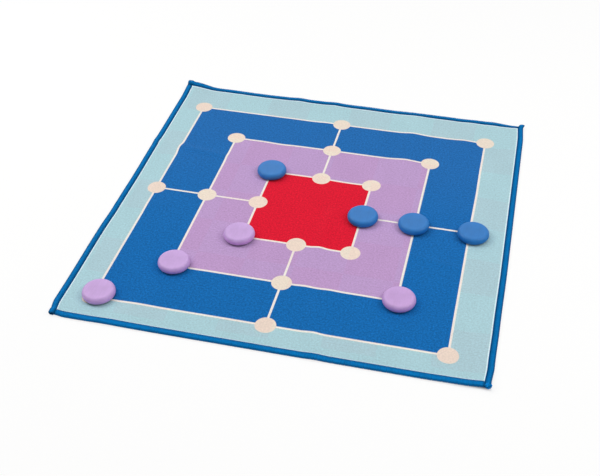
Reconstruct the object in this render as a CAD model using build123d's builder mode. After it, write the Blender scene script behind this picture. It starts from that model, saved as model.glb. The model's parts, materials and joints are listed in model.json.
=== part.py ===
from build123d import *
import os

# A square cloth mat with a nine men's morris board printed on it, its edges overlocked, and eight men.
# Millimetres, +Z up. The origin is the middle of the cloth on the face it lies on, the front edge is
# towards -Y, and everything rests on z = 0.

# Driving dimensions: the cloth
cloth_side = 400.0  # the cut square, before its edges are stitched
cloth_thickness = 1.0
ink_depth = 0.1  # how far the printed colours stand on the cloth

# Driving dimensions: the overlock stitching
seam_bite = 3.85  # how far the stitches reach in from the cut edge
seam_proud = 1.75  # how far they stand outside it
seam_height = 2.2
seam_inner_height = 1.45  # at the seam's inner side, just above the cloth
seam_crest = 2.6  # the seam's highest line, from its inner side
seam_lower_leg = 0.5  # thread under the cloth, which sinks into it
seam_corner = 0.7  # how far the seam's outer side curves in above and below
tail_length = 2.6  # the chained thread ends at the corners
tail_radius = 1.0
needle_width = 0.55
needle_height = 0.25

# Driving dimensions: the printed board
board_centre = (-3.2, -3.8)  # the print is a little off the middle of the cloth
ring_step = 55.0  # from each square's sides to those of the next one
line_width = 2.2
point_radius = 9.8

# Driving dimensions: the men
man_diameter = 31.2
man_height = 7.8
man_widest = 3.7  # how high the man is widest
man_shoulder = 3.4  # how far the rounding above that reaches in
man_tuck = 3.7  # how far the rounding below it reaches in

# The men, as (square, side across, side along, off the point in x, off it in y). The square is 1 for the
# inner one to 3 for the outer one, and the sides are -1, 0 or 1. Played men never lie dead on their points.
blue_men = {
    "blue_man_inner_corner": (1, -1, 1, 1.6, 0.0),
    "blue_man_inner_side": (1, 1, 0, 1.5, -0.2),
    "blue_man_middle_side": (2, 1, 0, -1.7, -0.6),
    "blue_man_outer_side": (3, 1, 0, 2.8, -1.4),
}
lilac_men = {
    "lilac_man_inner_corner": (1, -1, -1, -2.5, 0.0),
    "lilac_man_middle_left_corner": (2, -1, -1, 3.5, 0.7),
    "lilac_man_outer_corner": (3, -1, -1, 4.3, 0.5),
    "lilac_man_middle_right_corner": (2, 1, -1, 1.5, -0.9),
}

# Worked out from them
cloth_half = cloth_side / 2
seam_width = seam_bite + seam_proud
seam_side_top = seam_height - seam_corner / 2  # where the outer side meets the top
seam_inner = cloth_half - seam_bite  # from the middle of the cloth to a seam's inner side
seam_outer = cloth_half + seam_proud
needle_inner = seam_inner - needle_width
board_top = cloth_thickness + ink_depth
board_plane = Plane((board_centre[0], board_centre[1], cloth_thickness))
outer_half, middle_half, inner_half = 3 * ring_step, 2 * ring_step, ring_step

os.makedirs("parts", exist_ok=True)


def keep(piece, name):
    """Labels a finished piece and writes it under that name."""
    piece.part.label = name
    export_step(piece.part, f"parts/{name}.step")


# The cloth, thinned underneath all round where the lower threads of the seams sink into it
with BuildPart() as cloth:
    with BuildSketch():
        Rectangle(cloth_side, cloth_side)
    extrude(amount=cloth_thickness)
    with BuildSketch():
        Rectangle(cloth_side, cloth_side)
        Rectangle(2 * seam_inner, 2 * seam_inner, mode=Mode.SUBTRACT)
    extrude(amount=seam_lower_leg, mode=Mode.SUBTRACT)
keep(cloth, "cloth")


# The overlock seams. Each is a rounded band along one edge, wrapped round the cloth's edge.
def seam(outward, half_length, tail_ends):
    """One seam, along the edge that faces outward. It reaches half_length each way, and has a chained
    tail of thread at each of tail_ends, which are -1 or 1 along the seam."""
    out = Vector(*outward)
    along = out.cross(Vector(0, 0, 1))
    section = Plane(out * seam_inner - along * half_length, x_dir=out, z_dir=along)
    with BuildPart() as band:
        with BuildSketch(section):
            with BuildLine():
                Line((0, 0), (seam_width - seam_corner, 0))
                ThreePointArc(
                    (seam_width - seam_corner, 0),
                    (seam_width, seam_side_top / 2),
                    (seam_width - seam_corner, seam_side_top),
                )
                ThreePointArc(
                    (seam_width - seam_corner, seam_side_top),
                    (seam_crest, seam_height),
                    (0, seam_inner_height),
                )
                Line((0, seam_inner_height), (0, 0))
            make_face()
        extrude(amount=2 * half_length)
        for end in tail_ends:
            root = out * (seam_outer - 2 * tail_radius) + along * (end * (half_length - tail_radius))
            with BuildSketch(Plane(root + Vector(0, 0, tail_radius), z_dir=along * end)):
                Circle(tail_radius)
            extrude(amount=tail_length)
            fillet(
                faces().sort_by(Axis((0, 0, 0), along * end))[-1].edges(),
                radius=tail_radius * 0.6,
            )
        with Locations((0, 0, seam_lower_leg)):
            Box(
                cloth_side,
                cloth_side,
                cloth_thickness - seam_lower_leg,
                align=(Align.CENTER, Align.CENTER, Align.MIN),
                mode=Mode.SUBTRACT,
            )
    return band


keep(seam((0, -1, 0), seam_inner, ()), "overlock_front")
keep(seam((0, 1, 0), seam_inner, ()), "overlock_back")
keep(seam((-1, 0, 0), seam_outer, (1,)), "overlock_left")
keep(seam((1, 0, 0), seam_outer, (-1, 1)), "overlock_right")


# The needle threads. Each is a straight row along the inner side of its seam, on top of the cloth.
def needle_row(outward, half_length):
    """One row, a low rounded ridge from one crossing seam or row to the other."""
    out = Vector(*outward)
    along = out.cross(Vector(0, 0, 1))
    start = out * needle_inner - along * half_length + Vector(0, 0, cloth_thickness)
    with BuildPart() as row:
        with BuildSketch(Plane(start, x_dir=out, z_dir=along)):
            with BuildLine():
                ThreePointArc((0, 0), (needle_width / 2, needle_height), (needle_width, 0))
                Line((needle_width, 0), (0, 0))
            make_face()
        extrude(amount=2 * half_length)
    return row


keep(needle_row((0, -1, 0), needle_inner), "needle_thread_front")
keep(needle_row((0, 1, 0), needle_inner), "needle_thread_back")
keep(needle_row((-1, 0, 0), seam_inner), "needle_thread_left")
keep(needle_row((1, 0, 0), seam_inner), "needle_thread_right")

# The board's lines and points: three squares one inside the other, joined at the middles of their sides
sides = (-1, 0, 1)
point_places = [
    (ring * ring_step * across, ring * ring_step * along)
    for ring in (1, 2, 3)
    for across in sides
    for along in sides
    if (across, along) != (0, 0)
]
with BuildSketch(board_plane) as line_work:
    for half in (outer_half, middle_half, inner_half):
        Rectangle(2 * half + line_width, 2 * half + line_width)
        Rectangle(2 * half - line_width, 2 * half - line_width, mode=Mode.SUBTRACT)
    with PolarLocations(middle_half, 4):
        Rectangle(outer_half - inner_half, line_width)
    with Locations(*point_places):
        Circle(point_radius)
with BuildPart() as lines_and_points:
    add(line_work.sketch)
    extrude(amount=ink_depth)
keep(lines_and_points, "print_lines_and_points")


# The colours between the lines. Each fills from one square to the next, less the lines and points.
def colour_field(outer, inner):
    """The ink from one square's lines in to another's, or all of the inside where inner is 0."""
    with BuildPart() as field:
        with BuildSketch(board_plane):
            Rectangle(2 * outer, 2 * outer)
            if inner:
                Rectangle(2 * inner, 2 * inner, mode=Mode.SUBTRACT)
            add(line_work.sketch_local, mode=Mode.SUBTRACT)
        extrude(amount=ink_depth)
    return field


keep(colour_field(outer_half, middle_half), "print_outer_field")
keep(colour_field(middle_half, inner_half), "print_ring")
keep(colour_field(inner_half, 0), "print_centre")

with BuildPart() as border:
    with BuildSketch(board_plane):
        with Locations((-board_centre[0], -board_centre[1])):
            Rectangle(2 * needle_inner, 2 * needle_inner)
        Rectangle(2 * outer_half, 2 * outer_half, mode=Mode.SUBTRACT)
        add(line_work.sketch_local, mode=Mode.SUBTRACT)
    extrude(amount=ink_depth)
keep(border, "print_border")


# The men. Each is a turned wooden disc with a soft shoulder, tucked in below.
def man(square, across, along, off_x, off_y):
    """One man, lying on the board near its point."""
    x = board_centre[0] + across * square * ring_step + off_x
    y = board_centre[1] + along * square * ring_step + off_y
    radius = man_diameter / 2
    with BuildPart() as disc:
        with BuildSketch(Plane((x, y, board_top), x_dir=(1, 0, 0), z_dir=(0, -1, 0))):
            with BuildLine():
                Line((0, 0), (radius - man_tuck, 0))
                EllipticalCenterArc(
                    (radius - man_tuck, man_widest), man_tuck, man_widest, start_angle=270, arc_size=90
                )
                EllipticalCenterArc(
                    (radius - man_shoulder, man_widest),
                    man_shoulder,
                    man_height - man_widest,
                    start_angle=0,
                    arc_size=90,
                )
                Line((radius - man_shoulder, man_height), (0, man_height))
                Line((0, man_height), (0, 0))
            make_face()
        revolve(axis=Axis((x, y, 0), (0, 0, 1)))
    return disc


for name, place in (blue_men | lilac_men).items():
    keep(man(*place), name)
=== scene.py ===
import json
import math
import bpy
from mathutils import Euler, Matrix, Quaternion, Vector, noise

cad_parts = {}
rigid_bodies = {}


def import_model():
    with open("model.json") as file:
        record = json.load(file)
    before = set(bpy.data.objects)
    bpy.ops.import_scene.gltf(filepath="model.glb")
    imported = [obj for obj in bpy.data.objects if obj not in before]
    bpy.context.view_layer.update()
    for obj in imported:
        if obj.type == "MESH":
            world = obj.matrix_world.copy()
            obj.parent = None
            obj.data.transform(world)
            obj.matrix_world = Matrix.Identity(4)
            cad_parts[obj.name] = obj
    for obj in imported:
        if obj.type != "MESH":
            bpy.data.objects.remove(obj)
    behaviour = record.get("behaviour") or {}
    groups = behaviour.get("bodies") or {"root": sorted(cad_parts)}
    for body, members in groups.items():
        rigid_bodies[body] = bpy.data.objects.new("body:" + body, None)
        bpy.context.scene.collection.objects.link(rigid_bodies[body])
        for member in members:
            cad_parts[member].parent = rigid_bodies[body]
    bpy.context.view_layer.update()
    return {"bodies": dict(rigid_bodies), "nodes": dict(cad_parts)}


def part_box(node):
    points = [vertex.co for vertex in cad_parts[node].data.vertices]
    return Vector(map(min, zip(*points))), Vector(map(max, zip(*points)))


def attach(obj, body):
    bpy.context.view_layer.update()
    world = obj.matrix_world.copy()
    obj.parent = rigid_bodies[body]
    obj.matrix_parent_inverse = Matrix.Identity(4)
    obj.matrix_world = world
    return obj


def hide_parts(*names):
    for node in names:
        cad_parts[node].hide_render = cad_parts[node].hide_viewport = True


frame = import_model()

mm = 0.001
men = [name for name in frame["bodies"] if name != "mat"]
print("frame loaded,", len(frame["nodes"]), "nodes,", len(men), "men")


def letGo():
    if bpy.context.object and bpy.context.object.mode != "OBJECT":
        bpy.ops.object.mode_set(mode="OBJECT")
    bpy.ops.object.select_all(action="DESELECT")


def pickUp(piece):
    letGo()
    piece.select_set(True)
    bpy.context.view_layer.objects.active = piece


def newest(name):  # names what an operator has just added
    piece = bpy.context.object
    piece.name = name
    piece.data.name = name
    return piece


def applyPlace(piece):
    pickUp(piece)
    bpy.ops.object.transform_apply(location=True, rotation=True, scale=True)


def applyModifiers(piece):
    pickUp(piece)
    for modifier in list(piece.modifiers):
        bpy.ops.object.modifier_apply(modifier=modifier.name)


def smooth(piece):
    pickUp(piece)
    bpy.ops.object.shade_smooth()


def ease(value, low, high):  # 0 below low, 1 above high, smooth between
    step = min(1.0, max(0.0, (value - low) / (high - low)))
    return step * step * (3 - 2 * step)


def tone(red, green, blue):  # a colour as a screen shows it, 0 to 255, made ready for a shader
    share = [channel / 255 for channel in (red, green, blue)]
    linear = [c / 12.92 if c <= 0.04045 else ((c + 0.055) / 1.055) ** 2.4 for c in share]
    return (*linear, 1.0)


# small steps for building materials
def newMaterial(name):
    material = bpy.data.materials.new(name)
    material.use_nodes = True
    return material


def feed(material, socket, value):
    if isinstance(value, bpy.types.NodeSocket):
        material.node_tree.links.new(value, socket)
    else:
        socket.default_value = value


def calc(material, operation, *values):
    node = material.node_tree.nodes.new("ShaderNodeMath")
    node.operation = operation
    for socket, value in zip(node.inputs, values):
        feed(material, socket, value)
    return node.outputs[0]


def fadeOver(material, value, low, high):  # 0 at low and 1 at high, smooth between
    node = material.node_tree.nodes.new("ShaderNodeMapRange")
    node.interpolation_type = "SMOOTHSTEP"
    node.inputs["From Min"].default_value = low
    node.inputs["From Max"].default_value = high
    feed(material, node.inputs["Value"], value)
    return node.outputs["Result"]


def blendTones(material, share, first, second, mode="MIX"):
    node = material.node_tree.nodes.new("ShaderNodeMix")
    node.data_type = "RGBA"
    node.blend_type = mode
    feed(material, node.inputs["Factor"], share)
    feed(material, node.inputs[6], first)
    feed(material, node.inputs[7], second)
    return node.outputs[2]


def shaded(material, colour, light):  # a colour made lighter or darker by a number about 1
    node = material.node_tree.nodes.new("ShaderNodeCombineColor")
    for socket in node.inputs[:3]:
        feed(material, socket, light)
    return blendTones(material, 1.0, colour, node.outputs[0], "MULTIPLY")


def speckle(material, place, size, detail=2.0, rough=0.5):  # noise whose grains are size metres across
    node = material.node_tree.nodes.new("ShaderNodeTexNoise")
    feed(material, node.inputs["Vector"], place)
    node.inputs["Scale"].default_value = 1 / size
    node.inputs["Detail"].default_value = detail
    node.inputs["Roughness"].default_value = rough
    return calc(material, "SUBTRACT", node.outputs["Fac"], 0.5)


def moved(material, place, shift=(0, 0, 0), turn=(0, 0, 0), scale=(1, 1, 1)):
    node = material.node_tree.nodes.new("ShaderNodeMapping")
    feed(material, node.inputs["Vector"], place)
    node.inputs["Location"].default_value = shift
    node.inputs["Rotation"].default_value = turn
    node.inputs["Scale"].default_value = scale
    return node.outputs["Vector"]


def ownUv(material):
    node = material.node_tree.nodes.new("ShaderNodeUVMap")
    node.uv_map = "UVMap"
    return node.outputs["UV"]


def objectPlace(material):
    return material.node_tree.nodes.new("ShaderNodeTexCoord").outputs["Object"]


def split(material, place):
    node = material.node_tree.nodes.new("ShaderNodeSeparateXYZ")
    feed(material, node.inputs[0], place)
    return node.outputs


def bumps(material, height, strength, depth, under=None):
    node = material.node_tree.nodes.new("ShaderNodeBump")
    feed(material, node.inputs["Height"], height)
    node.inputs["Strength"].default_value = strength
    node.inputs["Distance"].default_value = depth
    if under is not None:
        feed(material, node.inputs["Normal"], under)
    return node.outputs["Normal"]


def finished(material, colour, normal, settings):
    surface = material.node_tree.nodes["Principled BSDF"]
    feed(material, surface.inputs["Base Color"], colour)
    feed(material, surface.inputs["Normal"], normal)
    for label, value in settings.items():
        surface.inputs[label].default_value = value
    return material


# camera, floor and lights
studio = {
    "cameraPlace": (0.1750, -0.7491, 0.6182),
    "cameraTurn": 14.120,        # degrees left of straight on
    "cameraTilt": 40.438,        # degrees down from level
    "cameraRoll": -0.585,
    "lens": 57.58,
    "sensor": 36.0,
    "floorSize": 12.0,
    "floorDrop": 0.0001,         # the floor is just under the mat
    "floorTone": (255, 255, 255),
    "floorOwnLight": 0.80,       # the share of the floor's white that no shadow reaches
    "ownLightFrom": (0.1975, 0.2015),   # and where it fades out, under the mat's edge
    "ownLightAll": (0.6, 1.6),   # far from the mat the floor is white all over
    "roomLight": 0.25,
    "lamps": {                   # place, side and power of each softbox
        "overhead_softbox": ((-0.35, 0.40, 2.6), 2.0, 17.6),
        "left_softbox": ((-0.95, 0.10, 1.0), 0.7, 6.4),
        "right_softbox": ((0.90, 0.05, 1.0), 0.7, 5.8),
        "front_softbox": ((0.3, -2.0, 1.5), 1.6, 4.0),
        "back_softbox": ((-0.5, 2.5, 1.7), 1.5, 8.0),
    },
    "lampTone": (255, 254, 252),
}


def makeCamera():
    bpy.ops.object.camera_add(location=studio["cameraPlace"])
    camera = newest("photo_camera")
    look = Euler((math.radians(90 - studio["cameraTilt"]), 0, math.radians(studio["cameraTurn"])))
    roll = Quaternion((0, 0, 1), math.radians(studio["cameraRoll"]))
    camera.rotation_euler = (look.to_quaternion() @ roll).to_euler()
    camera.data.lens = studio["lens"]
    camera.data.sensor_width = studio["sensor"]
    camera.data.sensor_fit = "HORIZONTAL"
    camera.data.clip_start = 0.01
    camera.data.clip_end = 50
    bpy.context.scene.camera = camera


def whiteForEyes(material):  # 1 for a ray from the camera or a glossy or clear surface
    ray = material.node_tree.nodes.new("ShaderNodeLightPath")
    seen = ray.outputs["Is Camera Ray"]
    for other in ("Is Glossy Ray", "Is Transmission Ray"):
        seen = calc(material, "MAXIMUM", seen, ray.outputs[other])
    return seen


def blendShaders(material, share, first, second, output):
    nodes, links = material.node_tree.nodes, material.node_tree.links
    blend = nodes.new("ShaderNodeMixShader")
    links.new(share, blend.inputs["Fac"])
    links.new(first, blend.inputs[1])
    links.new(second, blend.inputs[2])
    links.new(blend.outputs["Shader"], nodes[output].inputs["Surface"])


def makeFloor():
    letGo()
    bpy.ops.mesh.primitive_plane_add(size=studio["floorSize"], location=(0, 0, -studio["floorDrop"]))
    floor = newest("studio_floor")
    material = newMaterial("studio_floor")
    surface = material.node_tree.nodes["Principled BSDF"]
    surface.inputs["Base Color"].default_value = tone(*studio["floorTone"])
    surface.inputs["Roughness"].default_value = 0.9
    surface.inputs["Specular IOR Level"].default_value = 0.0
    white = material.node_tree.nodes.new("ShaderNodeEmission")
    x, y, _ = split(material, objectPlace(material))
    far = calc(material, "MAXIMUM", calc(material, "ABSOLUTE", x), calc(material, "ABSOLUTE", y))
    own = studio["floorOwnLight"]
    share = calc(material, "MULTIPLY_ADD", fadeOver(material, far, *studio["ownLightAll"]), 1 - own, own)
    share = calc(material, "MULTIPLY", share, fadeOver(material, far, *studio["ownLightFrom"]))
    share = calc(material, "MULTIPLY", share, whiteForEyes(material))
    blendShaders(material, share, surface.outputs["BSDF"], white.outputs["Emission"], "Material Output")
    floor.data.materials.append(material)


def makeLights():
    for name, (place, side, power) in studio["lamps"].items():
        aim = (-Vector(place)).to_track_quat("-Z", "Y").to_euler()
        bpy.ops.object.light_add(type="AREA", location=place, rotation=aim)
        lamp = newest(name)
        lamp.data.size = side
        lamp.data.energy = power
        lamp.data.color = tone(*studio["lampTone"])[:3]
    world = bpy.data.worlds.new("studio_room")
    bpy.context.scene.world = world
    world.use_nodes = True
    room = world.node_tree.nodes["Background"]
    room.inputs["Color"].default_value = (1, 1, 1, 1)
    room.inputs["Strength"].default_value = studio["roomLight"]
    white = world.node_tree.nodes.new("ShaderNodeBackground")
    white.inputs["Color"].default_value = (1, 1, 1, 1)
    blendShaders(world, whiteForEyes(world), room.outputs[0], white.outputs[0], "World Output")


makeCamera()
makeFloor()
makeLights()
bpy.context.scene.view_settings.view_transform = "Standard"
print("camera, floor and lights ready")


# The cloth, its edging and its stitches are modelled flat, in millimetres from the middle of the
# mat, and then laid down by the same moves.
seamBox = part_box("overlock_front")
seamInner = -seamBox[1].y / mm
seamOuter = -seamBox[0].y / mm
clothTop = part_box("print_border")[1].z / mm
manPlaces = [(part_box(name)[0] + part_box(name)[1]) / 2 / mm for name in men]
corner = seamOuter

lay = {
    "menFlat": 18.0,             # the cloth is flat within this of a man's middle
    "menFree": 36.0,             # and lies as it likes beyond this
    # soft ridges: from, to, how high, half width
    "ridges": (
        ((79, 188), (80, 50), 1.6, 13),
        ((21, -5), (20, -118), 1.5, 6.5),
        ((42, -80), (46, -150), 0.6, 9),
        ((34, -140), (50, -206), 1.2, 7),
        ((-206, 81), (-90, 64), 0.9, 5),
        ((-62, 206), (-60, 165), 0.7, 8),
        ((-18, 206), (-20, 150), 0.9, 9),
        ((140, 190), (136, 120), 0.8, 9),
        ((118, -50), (168, -60), 0.5, 5),
        ((-150, -206), (-110, -150), 0.5, 12),
        ((-206, -40), (-150, -30), 0.4, 9),
    ),
    "swell": 0.30,               # broad unevenness, and its size
    "swellSize": 55.0,
    "ripple": 0.10,              # finer unevenness
    "rippleSize": 19.0,
    # pulls: where, how far they reach across and along, and their move
    "pulls": (
        ((-corner, corner), (39, 32), (0.6, -0.4, 3.8)),
        ((-192, 206), (30, 13), (0.0, -0.5, 2.6)),
        ((corner, -corner), (22, 26), (-2.0, 0.4, 0.0)),
        ((corner, -corner), (60, 36), (0.0, 1.2, 1.1)),
        ((-corner, -corner), (20, 20), (2.8, 1.6, 0.4)),
        ((corner, corner), (30, 32), (-1.6, 0.5, 0.7)),
        ((189, 202), (12, 14), (0.0, -0.4, 0.0)),
        ((-corner, 10), (60, 80), (1.0, 0.0, 0.0)),
        ((-corner, -45), (40, 35), (0.8, 0.0, 0.0)),
        ((corner, -175), (50, 45), (-0.9, 0.0, 0.0)),
        ((corner, -125), (50, 80), (-0.7, 0.0, 0.0)),
        ((-105, corner), (45, 40), (0.0, -0.6, 0.0)),
        ((48, corner), (30, 40), (0.0, -0.6, 0.0)),
        ((131, corner), (18, 30), (0.0, -0.6, 0.0)),
        ((-181, corner), (22, 30), (0.0, 0.6, 0.0)),
        ((168, corner), (14, 20), (0.0, 0.5, 0.0)),
        ((180, -corner), (25, 25), (0.0, -0.8, 0.0)),
        ((28, 51), (40, 34), (0.0, -1.4, 0.0)),
        ((-168, 71), (17, 14), (-1.3, 0.0, 0.0)),
        ((168, 58), (20, 55), (0.6, 0.0, 0.0)),
        ((70, 168), (14, 22), (0.0, -0.7, 0.0)),
        ((0, corner), (230, 30), (0.0, -0.45, 0.0)),
        ((-corner, -150), (30, 60), (0.4, 0.0, 0.0)),
        ((-corner, 95), (30, 70), (0.4, 0.0, 0.0)),
        ((-168, 22), (30, 75), (-0.9, 0.0, 0.0)),
        ((-61, 103), (22, 26), (0.0, -0.9, 0.0)),
    ),
    # how far each line of the print lies off its place, from the front one back and from the left one right
    "slipBack": (-2.5, -0.05, 0.9, 2.7, 2.3, -0.3, -2.7),
    "slipRight": (-0.7, 0.15, 0.55, 0.45, -0.25, -0.45, -0.95),
    "frontSkew": 1.1,            # the front of the print runs slightly uphill to the right
    "sideSkew": 0.25,            # and its sides lean right towards the back
    "underSeam": 0.40,           # the cloth's edge rides up on the lower threads
}
boardMiddle = (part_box("print_lines_and_points")[0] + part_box("print_lines_and_points")[1]) / 2 / mm
boardStep = 55.0


def ridgeLift(x, y):
    lift = 0.0
    for (ax, ay), (bx, by), rise, width in lay["ridges"]:
        length = math.hypot(bx - ax, by - ay)
        ux, uy = (bx - ax) / length, (by - ay) / length
        along = (x - ax) * ux + (y - ay) * uy
        off = (x - ax) * uy - (y - ay) * ux
        if abs(off) < 3 * width and -20 < along < length + 20:
            fade = ease(along, -18, 8) * (1 - ease(along, length - 25, length + 15))
            lift += rise * fade * math.exp(-((off / width) ** 2))
    return lift


def unevenness(x, y):
    broad = noise.noise(Vector((x / lay["swellSize"], y / lay["swellSize"], 3.7)))
    small = noise.noise(Vector((x / lay["rippleSize"], y / lay["rippleSize"], 9.2)))
    return lay["swell"] * (1 + broad) / 2 + lay["ripple"] * (1 + small) / 2


def between(values, place):  # the value at a place counted from the first, smooth between the whole ones
    place = min(len(values) - 1.0, max(0.0, place))
    before = min(int(place), len(values) - 2)
    return values[before] + (values[before + 1] - values[before]) * ease(place, before, before + 1)


def layDown(flat):  # where a point of the flat mat comes to lie
    x, y, z = flat / mm
    nearest = min(math.hypot(x - place.x, y - place.y) for place in manPlaces)
    lift = ease(nearest, lay["menFlat"], lay["menFree"]) * (ridgeLift(x, y) + unevenness(x, y))
    edge = max(abs(x), abs(y))
    inside = 1 - ease(edge, 172, 194)
    moveX = between(lay["slipRight"], (x - boardMiddle.x) / boardStep + 3) + lay["sideSkew"] * y / 100
    moveX *= inside
    moveY = between(lay["slipBack"], (y - boardMiddle.y) / boardStep + 3) * inside
    moveY += lay["frontSkew"] * x / 170 * ease(-y, 0, 200)
    for (px, py), (reachX, reachY), (pullX, pullY, pullZ) in lay["pulls"]:
        away = math.hypot((x - px) / reachX, (y - py) / reachY)
        if away < 1:
            hold = math.cos(away * math.pi / 2) ** 2
            moveX += pullX * hold
            moveY += pullY * hold
            lift += pullZ * hold
    return Vector((x + moveX, y + moveY, max(z, 0) + lift)) * mm


def layPiece(piece):
    for vertex in piece.data.vertices:
        vertex.co = layDown(vertex.co)
    piece.data.update()


# the cloth
cloth = {
    "half": 198.6,               # from its middle to its edge, which the stitches cover
    "cells": 180,
    "aqua": (174, 210, 219),
    # lighter and greyer towards the back: painted sheen
    "blue": (19, 106, 178),
    "blueBack": (33, 107, 178),  # it is duller towards the back
    "lilac": (190, 158, 206),
    "red": (223, 24, 51),
    "cream": (240, 226, 210),
    "creamOuter": (237, 223, 208),
    "creamLine": (243, 237, 229),
    "lineWidth": 2.2,
    "pointRadius": 9.8,
    "inkEdge": 0.16,             # how soft a printed edge is
    "check": 48.5,               # the side of the squares that show through from the reverse
    "checkMiddle": (2.7, 8.0),
    "checkShade": (1.01, 0.955, 0.965),   # what an odd square does to the pale inks
    "seamGlow": (226, 248, 254), # painted light: a paler strip beside the stitches, brightened against the shade they cast
    "seamThread": (0, 92, 156),  # and the thread that covers the cloth from there on, darkened by painted shade of the groove
    "reverseLilac": (190, 156, 203),
    "reverseAqua": (172, 210, 217),
    "napSize": 1.8,
    "napShade": 0.85,
    "grain": {"red": 1.05, "lilac": 0.7, "blue": 1.6, "aqua": 0.62, "cream": 0.45},   # how much the nap shows
    "fibreSize": 0.6,
    "fibreShade": 0.50,
    "patchSize": 24.0,
    "patchShade": 0.10,
}
clothFinish = {
    "Roughness": 0.95,
    "Specular IOR Level": 0.06,
    "Sheen Weight": 0.18,
    "Sheen Roughness": 0.40,
}


def boardPlace():  # the middle of the printed board, and half the side of its outer square, in metres
    low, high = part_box("print_lines_and_points")
    return (low + high) / 2, (high.x - low.x) / 2 - cloth["pointRadius"] * mm


def flatPlace(material):  # metres across the flat cloth from its middle
    side = 2 * cloth["half"] * mm
    return moved(material, ownUv(material), shift=(-side / 2, -side / 2, 0), scale=(side, side, 1))


def oddSquare(material, flat):  # 1 in every second square of the check, 0 elsewhere
    size = cloth["check"] * mm
    middleX, middleY = (shift * mm for shift in cloth["checkMiddle"])
    x, y, _ = split(material, flat)
    across = calc(material, "MULTIPLY_ADD", x, 1 / size, -middleX / size)
    along = calc(material, "MULTIPLY_ADD", y, 1 / size, -middleY / size)
    total = calc(material, "ADD", calc(material, "FLOOR", across), calc(material, "FLOOR", along))
    odd = calc(material, "ABSOLUTE", calc(material, "MODULO", total, 2.0))
    far = calc(material, "MAXIMUM", calc(material, "ABSOLUTE", across), calc(material, "ABSOLUTE", along))
    return calc(material, "MULTIPLY", odd, calc(material, "LESS_THAN", far, 4.0))


def printedColour(material, flat):
    centre, outer = boardPlace()
    soft = cloth["inkEdge"] * mm
    halfLine = cloth["lineWidth"] / 2 * mm
    radius = cloth["pointRadius"] * mm
    squares = [outer * ring / 3 for ring in (1, 2, 3)]
    x, y, _ = split(material, moved(material, flat, shift=(-centre.x, -centre.y, 0)))
    ax, ay = calc(material, "ABSOLUTE", x), calc(material, "ABSOLUTE", y)
    reach = calc(material, "MAXIMUM", ax, ay)
    nearAxis = calc(material, "MINIMUM", ax, ay)
    # the coloured fields, from the middle outwards, how pale each is and how grainy
    colour = tone(*cloth["red"])
    pale = 0.0
    grain = cloth["grain"]["red"]
    # painted sheen: the blue field is mixed towards a lighter, greyer blue at the back
    backSheenShare = fadeOver(material, y, -0.10, 0.14)
    inks = {ink: tone(*cloth[ink]) for ink in ("lilac", "aqua")}
    inks["blue"] = blendTones(material, backSheenShare, tone(*cloth["blue"]), tone(*cloth["blueBack"]))
    for half, ink, paleness in zip(squares, ("lilac", "blue", "aqua"), (0.85, 0.1, 1.0)):
        beyond = fadeOver(material, reach, half - soft, half + soft)
        colour = blendTones(material, beyond, colour, inks[ink])
        pale = calc(material, "MULTIPLY_ADD", beyond, calc(material, "SUBTRACT", paleness, pale), pale)
        coarser = calc(material, "SUBTRACT", cloth["grain"][ink], grain)
        grain = calc(material, "MULTIPLY_ADD", beyond, coarser, grain)
    # the lines, then the spokes, then the points
    lines = calc(material, "SUBTRACT", 1.0, fadeOver(material, nearAxis, halfLine - soft, halfLine + soft))
    lines = calc(material, "MULTIPLY", lines, calc(material, "GREATER_THAN", reach, squares[0]))
    lines = calc(material, "MULTIPLY", lines, calc(material, "LESS_THAN", reach, squares[2]))
    points = 0.0
    for half in squares:
        off = calc(material, "ABSOLUTE", calc(material, "SUBTRACT", reach, half))
        line = calc(material, "SUBTRACT", 1.0, fadeOver(material, off, halfLine - soft, halfLine + soft))
        lines = calc(material, "MAXIMUM", lines, line)
        stepX = calc(material, "MULTIPLY_ADD", calc(material, "GREATER_THAN", ax, half / 2), -half, ax)
        stepY = calc(material, "MULTIPLY_ADD", calc(material, "GREATER_THAN", ay, half / 2), -half, ay)
        sumSquares = calc(material, "MULTIPLY_ADD", stepX, stepX, calc(material, "MULTIPLY", stepY, stepY))
        far = calc(material, "SQRT", sumSquares)
        far = calc(material, "MULTIPLY_ADD", calc(material, "LESS_THAN", reach, half / 2), half, far)
        point = calc(material, "SUBTRACT", 1.0, fadeOver(material, far, radius - soft, radius + soft))
        points = calc(material, "MAXIMUM", points, point)
    outward = fadeOver(material, reach, outer * 0.85, outer * 0.9)
    cream = blendTones(material, outward, tone(*cloth["cream"]), tone(*cloth["creamOuter"]))
    colour = blendTones(material, lines, colour, tone(*cloth["creamLine"]))
    colour = blendTones(material, points, colour, cream)
    coarser = calc(material, "SUBTRACT", cloth["grain"]["cream"], grain)
    grain = calc(material, "MULTIPLY_ADD", calc(material, "MAXIMUM", lines, points), coarser, grain)
    pale = calc(material, "MAXIMUM", pale, calc(material, "MULTIPLY", points, 1.15))
    return colour, pale, grain


def clothSurface(material, colour, flat, grain):
    # a brushed nap over a fine weave, lighter and darker in patches
    patches = speckle(material, moved(material, flat, scale=(1, 0.55, 1)), cloth["patchSize"] * mm, 3)
    nap = speckle(material, flat, cloth["napSize"] * mm, 2, 0.6)
    fibre = speckle(material, moved(material, flat, scale=(1, 0.6, 1)), cloth["fibreSize"] * mm, 1)
    fine = calc(material, "MULTIPLY", nap, cloth["napShade"])
    fine = calc(material, "MULTIPLY_ADD", fibre, cloth["fibreShade"], fine)
    light = calc(material, "MULTIPLY_ADD", patches, cloth["patchShade"], 1.0)
    light = calc(material, "MULTIPLY_ADD", fine, grain, light)
    raised = bumps(material, nap, 0.35, 0.0003)
    raised = bumps(material, fibre, 0.35, 0.00012, raised)
    return finished(material, shaded(material, colour, light), raised, clothFinish)


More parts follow.
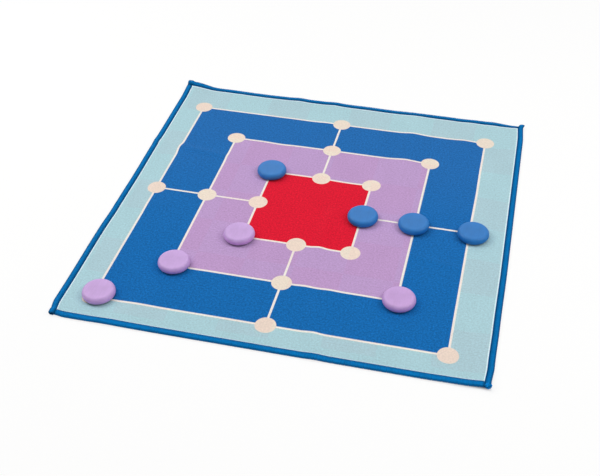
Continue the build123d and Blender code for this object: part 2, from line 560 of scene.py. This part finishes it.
def faceMaterial():
    material = newMaterial("printed_face")
    flat = flatPlace(material)
    colour, pale, grain = printedColour(material, flat)
    showing = calc(material, "MULTIPLY", oddSquare(material, flat), pale)
    colour = blendTones(material, showing, colour, (*cloth["checkShade"], 1.0), "MULTIPLY")
    x, y, _ = split(material, flat)
    edge = calc(material, "MAXIMUM", calc(material, "ABSOLUTE", x), calc(material, "ABSOLUTE", y))
    # painted light: a pale strip beside the stitches, brighter than the print to make up for their shade
    glow = fadeOver(material, edge, (seamInner - 1.8) * mm, (seamInner - 1.1) * mm)
    colour = blendTones(material, glow, colour, tone(*cloth["seamGlow"]))
    # the thread that covers the cloth at the seam, painted darker for the shade in the groove beside the stitches
    covered = fadeOver(material, edge, (seamInner - 0.48) * mm, (seamInner - 0.34) * mm)
    colour = blendTones(material, covered, colour, tone(*cloth["seamThread"]))
    return clothSurface(material, colour, flat, grain)


def reverseMaterial():
    material = newMaterial("reverse_face")
    flat = flatPlace(material)
    odd = oddSquare(material, flat)
    colour = blendTones(material, odd, tone(*cloth["reverseAqua"]), tone(*cloth["reverseLilac"]))
    return clothSurface(material, colour, flat, cloth["grain"]["aqua"])


def makeCloth():
    letGo()
    bpy.ops.mesh.primitive_grid_add(
        x_subdivisions=cloth["cells"],
        y_subdivisions=cloth["cells"],
        size=2 * cloth["half"] * mm,
        location=(0, 0, clothTop * mm),
    )
    piece = newest("printed_cloth")
    applyPlace(piece)
    piece.data.materials.append(faceMaterial())
    piece.data.materials.append(reverseMaterial())
    solid = piece.modifiers.new("thickness", "SOLIDIFY")
    solid.thickness = clothTop * mm
    solid.offset = -1
    solid.material_offset = 1
    applyModifiers(piece)
    for vertex in piece.data.vertices:
        edge = max(abs(vertex.co.x), abs(vertex.co.y)) / mm
        vertex.co.z += lay["underSeam"] * mm * ease(edge, 193.5, 197.5)
    layPiece(piece)
    smooth(piece)
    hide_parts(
        "cloth", "print_border", "print_outer_field", "print_ring", "print_centre", "print_lines_and_points"
    )
    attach(piece, "mat")
    return piece


sheet = makeCloth()
print("cloth laid,", len(sheet.data.polygons), "faces")


# the overlocked edging
edging = {
    "pitch": 1.04,               # from one loop of thread to the next
    "thread": 0.52,              # the thread's radius
    "slant": 0.9,                # how far a loop leans along the edge on its way over
    "colour": (0, 134, 210),
    # painted shade: the needle thread is darker than the loops for the shade in the groove where it lies
    "needleColour": (0, 82, 144),
    # painted shade: the core is much darker than the loops, so the gaps between them look shaded
    "coreColour": (0, 70, 124),
    "knobColour": (0, 124, 196),
    # one loop: out from the seam's inner side, height, and how full the thread is there
    "loop": (
        (0.60, 0.60, 0.6),
        (0.05, 1.15, 0.9),
        (0.50, 1.85, 1.0),
        (1.80, 2.22, 1.0),
        (3.60, 2.22, 1.0),
        (4.95, 1.95, 1.0),
        (5.70, 1.40, 1.0),
        (5.70, 0.70, 0.9),
        (4.90, 0.30, 0.8),
        (2.90, 0.32, 0.6),
        (0.60, 0.36, 0.6),
    ),
    # painted shade: how much darker a loop is at its inner side, its outer side and where it touches the next, each
    # with the shares of its length between which that comes or goes
    "innerShade": (0.50, 0.10, 0.42),
    "outerShade": (0.36, 0.40, 0.58),
    "grooveShade": 0.16,
    "endShade": 0.45,            # and how deep the painted shade is at a run's end, under a crossing run and on its outer side
    "threadCrest": 0.667,        # which way round a loop its outer face is
    "outerPoint": 6,             # the point of the loop after which the thread returns underneath
    "unevenLean": 0.10,
    "unevenHeight": 0.10,
    "crossLift": 1.4,            # how far a run is lifted where it crosses another
    "underDrop": 0.35,           # how far the end of the lower one sinks
    "footDrop": 0.8,             # and how far a bent end falls again
    "blunt": 1.2,                # the length over which a run's end rounds off
    "footSway": 1.4,             # how far a bent end turns outwards
    "pinch": 0.42,               # how much thinner a pinched end is, and over what length
    "pinchReach": 34.0,
    # the core of cut edge and thread that the loops wrap, coloured dark as painted shade in the gaps between the
    # loops
    "coreWidth": 5.0,
    "coreHeight": 1.5,
    "corePlace": (2.85, 1.10),   # out from the seam's inner side, and height
    "coreStep": 4.0,
    "needleThread": 0.29,
    "needlePlace": 0.24,         # how far the needle's row is in from the loops
    # the knob of wound thread: along from its run's end, out from the seam's inner side, and height
    "knobPlace": (-0.2, 3.3, 2.1),
    "knobSize": (2.5, 3.1, 2.2), # half its length along the run, across it and up
    "knobTurns": 5,
    "knobTail": 3.0,
}
threadFinish = {
    "Roughness": 0.62,
    "Specular IOR Level": 0.08,
}

# each run: its turn from the front edge, how full it is, how much painted shade darkens its outer side still more
# (evening out how the lamps light the sides), and then where it starts and ends along the edge and how. Under is
# beneath the run that it meets there, pinched is so too and thinner, over is on top of it, foot is on top and bent
# outwards, and knob is on top with its tail of thread wound up.
runs = {
    "front": (0, 1.08, 0.0, (-198.6, "under"), (198.6, "under")),
    "right": (90, 0.92, 0.45, (-200.9, "knob"), (202.1, "foot")),
    "back": (180, 1.0, 0.70, (-198.6, "pinched"), (201.9, "over")),
    "left": (270, 1.0, 0.75, (-198.6, "under"), (203.1, "over")),
}


def threadMaterial(name, colour, twists, wrapped=False, mottle=(0.009, 0.30)):
    material = newMaterial(name)
    place = objectPlace(material)
    along, around, _ = split(material, ownUv(material))
    twist = calc(material, "MULTIPLY_ADD", around, 3.0, calc(material, "MULTIPLY", along, twists))
    plies = calc(material, "SINE", calc(material, "MULTIPLY", twist, 2 * math.pi))
    fibre = speckle(material, place, 0.0005, 2, 0.6)
    patches = speckle(material, place, mottle[0], 2)
    light = calc(material, "MULTIPLY_ADD", plies, 0.06, 1.0)
    light = calc(material, "MULTIPLY_ADD", patches, mottle[1], light)
    light = calc(material, "MULTIPLY_ADD", fibre, 0.45, light)
    if wrapped:
        # painted shade on each loop: darker at its inner and outer sides and in the grooves between loops
        depth, low, high = edging["innerShade"]
        shade = calc(material, "MULTIPLY_ADD", fadeOver(material, along, low, high), depth, 1 - depth)
        light = calc(material, "MULTIPLY", light, shade)
        depth, low, high = edging["outerShade"]
        shade = calc(material, "MULTIPLY_ADD", fadeOver(material, along, low, high), -depth, 1.0)
        light = calc(material, "MULTIPLY", light, shade)
        turn = calc(material, "MULTIPLY_ADD", around, 2 * math.pi, -2 * math.pi * edging["threadCrest"])
        depth = edging["grooveShade"]
        shade = calc(material, "MULTIPLY_ADD", calc(material, "COSINE", turn), depth, 1 - depth)
        light = calc(material, "MULTIPLY", light, shade)
        # painted shade at a run's ends, where it runs under another and along its outer side
        end = material.node_tree.nodes.new("ShaderNodeAttribute")
        end.attribute_name = "endShade"
        shade = calc(material, "MULTIPLY_ADD", end.outputs["Fac"], -edging["endShade"], 1.0)
        light = calc(material, "MULTIPLY", light, shade)
    raised = bumps(material, plies, 0.5, 0.00008)
    raised = bumps(material, fibre, 0.4, 0.00008, raised)
    return finished(material, shaded(material, tone(*colour), light), raised, threadFinish)


thread = threadMaterial("edging_thread", edging["colour"], 12.0, wrapped=True)
# painted highlights and shade: the knob's strong small mottle stands for bright thread tops and dark gaps
knobThread = threadMaterial("knob_thread", edging["knobColour"], 200.0, mottle=(0.0024, 3.2))
needleThread = threadMaterial("needle_thread", edging["needleColour"], 2.0)
coreThread = threadMaterial("edging_core", edging["coreColour"], 300.0)


def threadPiece(name, points, radius, cuts=1, rounds=1):  # a thread through points of (x, y, z, fullness), in mm
    letGo()
    bpy.ops.curve.primitive_nurbs_path_add(location=(0, 0, 0))
    line = newest(name)
    spline = line.data.splines[0]
    spline.points.add(len(points) - len(spline.points))
    for point, (x, y, z, full) in zip(spline.points, points):
        point.co = (x * mm, y * mm, z * mm, 1)
        point.radius = full
    spline.order_u = 3
    spline.use_endpoint_u = True
    spline.resolution_u = cuts
    line.data.bevel_depth = radius * mm
    line.data.bevel_resolution = rounds
    line.data.use_fill_caps = True
    pickUp(line)
    bpy.ops.object.convert(target="MESH")
    return newest(name)


def threadLoop():  # one loop over the front edge, starting at x = 0
    points = []
    outer = edging["outerPoint"]
    last = len(edging["loop"]) - 1
    for step, (out, height, full) in enumerate(edging["loop"]):
        lean = edging["slant"] * min(1, step / outer)
        lean += (edging["pitch"] - edging["slant"]) * max(0, step - outer) / (last - outer)
        points.append((lean, -seamInner - out, height, full))
    return threadPiece("thread_loop", points, edging["thread"])


def repeatAlong(piece, pitch, first, last):
    row = piece.modifiers.new("row", "ARRAY")
    row.use_relative_offset = False
    row.use_constant_offset = True
    row.constant_offset_displace = (pitch * mm, 0, 0)
    row.count = int((last - first) / pitch)
    applyModifiers(piece)
    piece.location = (first * mm, 0, 0)
    applyPlace(piece)


def makeCore(first, last):  # a flattened band along the front edge, with rounded ends
    out, height = edging["corePlace"]
    ends = ((0.5, 0.45), (1.0, 0.8), (2.0, 1.0))
    steps = int((last - first - 2 * edging["coreStep"]) / edging["coreStep"])
    gap = (last - first - 2 * edging["coreStep"]) / steps
    marks = [(first + along, full) for along, full in ends]
    marks += [(first + edging["coreStep"] + gap * step, 1.0) for step in range(steps + 1)]
    marks += [(last - along, full) for along, full in reversed(ends)]
    core = threadPiece("edging_core", [(x, -seamInner - out, height, full) for x, full in marks], edging["coreWidth"] / 2)
    for vertex in core.data.vertices:
        vertex.co.z = height * mm + (vertex.co.z - height * mm) * edging["coreHeight"] / edging["coreWidth"]
    core.data.materials.append(coreThread)
    return core


def makeKnob(first):  # a small ball of wound thread at a run's start, with its end sticking out
    along, out, height = edging["knobPlace"]
    middle = Vector((first + along, -seamInner - out, height))
    size = Vector(edging["knobSize"])
    tilt = Euler((0.5, 0.3, 0.6))
    steps = 9 * edging["knobTurns"]
    places = []
    for step in range(steps + 1):
        turn = step / 9 * 2 * math.pi
        climb = math.radians(22 + 136 * step / steps)
        wobble = 1 + 0.10 * noise.noise(Vector((step * 0.35, 4.0, 0)))
        ring = Vector((math.cos(turn) * math.sin(climb), math.sin(turn) * math.sin(climb), math.cos(climb)))
        ring.rotate(tilt)
        places.append(middle + ring * size * wobble)
    away = Vector((0.35, -1.0, 0.15)).normalized() * edging["knobTail"]
    points = [(*place, 1.0) for place in places]
    points += [(*(places[-1] + away * 0.5), 0.6), (*(places[-1] + away), 0.3)]
    knob = threadPiece("thread_knob", points, edging["thread"], cuts=2, rounds=3)
    knob.data.materials.append(knobThread)
    bpy.ops.mesh.primitive_ico_sphere_add(subdivisions=3, radius=mm)
    filling = newest("knob_filling")
    # painted shade: the dark filling shows between the wound threads
    filling.data.materials.append(coreThread)
    for vertex in filling.data.vertices:  # uneven, as packed thread is
        vertex.co = vertex.co * size * 0.94 * (1 + 0.06 * noise.noise(vertex.co * 1500)) + middle * mm
    return [knob, filling]


def settleRun(run, perLoop, first, last, kinds, full, outerPaintedShade):
    middleOut, middleHeight = edging["corePlace"]
    endShade = run.data.attributes.new("endShade", "FLOAT", "POINT")
    for index, vertex in enumerate(run.data.vertices):
        loop = index // perLoop
        x, y, z = vertex.co / mm
        out = -seamInner - y
        x += edging["unevenLean"] * noise.noise(Vector((loop * 0.9, 1.5, 0))) * out / 3
        lift = edging["unevenHeight"] * noise.noise(Vector((loop * 0.7, 7.5, 0)))
        shrink = full
        thin = 1.0
        sway = 0.0
        # painted shade: the outer side darker as the lamps light each side, the ends darker, and an under run darker
        # beside the run over it
        dark = outerPaintedShade * ease(out, 3.4, 5.2)
        for kind, inward in zip(kinds, (x - first, last - x)):
            if kind in ("under", "pinched"):
                lift -= edging["underDrop"] * (1 - ease(inward, 0, 7))
                dark = max(dark, 1 - ease(inward, 2.9, 5.0))
            else:
                lift += edging["crossLift"] * (1 - ease(inward, 4.5, 9.0))
                inside = min(1.0, max(0.05, (inward + 0.3) / edging["blunt"]))
                shrink = min(shrink, math.sqrt(1 - (1 - inside) ** 2))
                dark = max(dark, 1 - ease(inward, 0.3, 1.8))
            if kind == "pinched":
                thin = 1 - edging["pinch"] * (1 - ease(inward, 0, edging["pinchReach"]))
            if kind == "foot":
                lift -= edging["footDrop"] * (1 - ease(inward, 0.0, 4.0))
                sway += edging["footSway"] * (1 - ease(inward, 0.5, 5.0))
        out = (middleOut + (out - middleOut) * shrink) * thin + sway
        z = middleHeight + (z - middleHeight) * shrink * thin + lift * ease(z, 0.0, 1.2)
        vertex.co = Vector((x, -seamInner - out, z)) * mm
        endShade.data[index].value = dark


def turnTo(piece, degrees):
    piece.rotation_euler = (0, 0, math.radians(degrees))
    applyPlace(piece)


def joinInto(piece, others):
    pickUp(piece)
    for other in others:
        other.select_set(True)
    bpy.ops.object.join()


def makeRun(side):
    turn, full, outerPaintedShade, (first, firstKind), (last, lastKind) = runs[side]
    run = threadLoop()
    perLoop = len(run.data.vertices)
    repeatAlong(run, edging["pitch"], first, last)
    run.data.materials.append(thread)
    core = makeCore(first, last)
    settleRun(run, perLoop, first, last, (firstKind, lastKind), full, outerPaintedShade)
    settleRun(core, len(core.data.vertices), first, last, (firstKind, lastKind), full, outerPaintedShade)
    joinInto(run, [core] + (makeKnob(first) if firstKind == "knob" else []))
    turnTo(run, turn)
    layPiece(run)
    run.name = "edging_" + side
    smooth(run)
    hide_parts("overlock_" + side)
    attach(run, "mat")
    return run


def makeNeedleRow(side):
    turn, full = runs[side][:2]
    pitch = edging["pitch"]
    height = clothTop + 0.25  # on the cloth where it starts to rise under the seam
    middleOut = edging["corePlace"][0]
    inward = -seamInner - middleOut + (middleOut + edging["needlePlace"]) * full
    points = [
        (-0.05, inward, height - 0.35, 0.8),
        (0.15, inward, height + 0.15, 1.0),
        (0.50 * pitch, inward, height + 0.22, 1.0),
        (pitch - 0.15, inward, height + 0.15, 1.0),
        (pitch + 0.05, inward, height - 0.35, 0.8),
    ]
    row = threadPiece("needle_stitch", points, edging["needleThread"])
    repeatAlong(row, pitch, -195.0, 195.0)
    turnTo(row, turn)
    layPiece(row)
    row.name = "needle_stitches_" + side
    row.data.materials.append(needleThread)
    smooth(row)
    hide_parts("needle_thread_" + side)
    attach(row, "mat")
    return row


edgingPieces = [makeRun(side) for side in runs]
print("edging done,", sum(len(piece.data.polygons) for piece in edgingPieces), "faces")
edgingPieces += [makeNeedleRow(side) for side in runs]
print("needle stitches done")


# the men
manColours = {                   # on top, and at the side, which is painted lighter and more saturated for the light it gets
    "blue": ((16, 111, 185), (34, 118, 194)),
    "lilac": ((197, 162, 218), (212, 167, 230)),
}
manTints = {                     # two that differ: the blue one's raised red is painted sheen from the back light, the lilac one is a little darker
    "blue_man_inner_corner": (2.0, 1.04, 1.02),
    "lilac_man_middle_right_corner": (0.98, 0.94, 0.96),
}
manLook = {
    "roughness": 0.48,
    "shine": 0.46,               # on top, and at the side
    "sideShine": 0.20,
    "side": (14.4, 15.6),        # between which distances from its middle the top becomes the side
    "footShade": 0.92,           # painted shade: how much darker the rounding at its foot is
    "footHeight": (0.6, 2.4),    # between which heights that fades
    "footReach": (12.0, 13.2),   # and between which distances from its middle it begins
}


def manMaterial(name):
    material = newMaterial(name + "_stain")
    middle = (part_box(name)[0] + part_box(name)[1]) / 2
    place = moved(material, objectPlace(material), shift=-middle)
    turn = noise.noise(middle * 100) * math.pi  # each man's grain lies its own way
    grain = speckle(material, moved(material, place, turn=(0, 0, turn), scale=(1, 0.1, 1)), 0.0011, 3, 0.6)
    cloudy = speckle(material, place, 0.008, 2)
    x, y, z = split(material, place)
    far = calc(material, "SQRT", calc(material, "MULTIPLY_ADD", x, x, calc(material, "MULTIPLY", y, y)))
    side = fadeOver(material, far, *(reach * mm for reach in manLook["side"]))
    rim = fadeOver(material, far, 0.006, 0.0135)  # the top is a little paler towards the rim
    light = calc(material, "MULTIPLY_ADD", rim, 0.05, 0.975)
    light = calc(material, "MULTIPLY_ADD", cloudy, 0.24, light)
    light = calc(material, "MULTIPLY_ADD", grain, 0.18, light)
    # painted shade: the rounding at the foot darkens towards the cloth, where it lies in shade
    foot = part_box(name)[0].z - middle.z
    low, high = (foot + height * mm for height in manLook["footHeight"])
    down = calc(material, "SUBTRACT", 1.0, fadeOver(material, z, low, high))
    down = calc(material, "MULTIPLY", down, fadeOver(material, far, *(reach * mm for reach in manLook["footReach"])))
    shade = calc(material, "MULTIPLY_ADD", down, -manLook["footShade"], 1.0)
    light = calc(material, "MULTIPLY", light, shade)
    # painted light: the side takes a lighter, more saturated colour than the top
    top, sideWithPaintedLight = (tone(*colour) for colour in manColours[name.split("_")[0]])
    # painted sheen on the inner-corner blue man; a darker tone on one lilac man
    tint = manTints.get(name, (1, 1, 1))
    top, sideWithPaintedLight = ((*(c * t for c, t in zip(colour, tint)), 1.0) for colour in (top, sideWithPaintedLight))
    colour = shaded(material, blendTones(material, side, top, sideWithPaintedLight), light)
    shine = calc(material, "MULTIPLY_ADD", side, manLook["sideShine"] - manLook["shine"], manLook["shine"])
    feed(material, material.node_tree.nodes["Principled BSDF"].inputs["Specular IOR Level"], shine)
    settings = {"Roughness": manLook["roughness"], "Specular IOR Level": manLook["shine"]}
    return finished(material, colour, bumps(material, grain, 0.12, 0.0001), settings)


for name in men:
    disc = frame["nodes"][name]
    disc.data.materials.clear()
    disc.data.materials.append(manMaterial(name))
print("men stained")
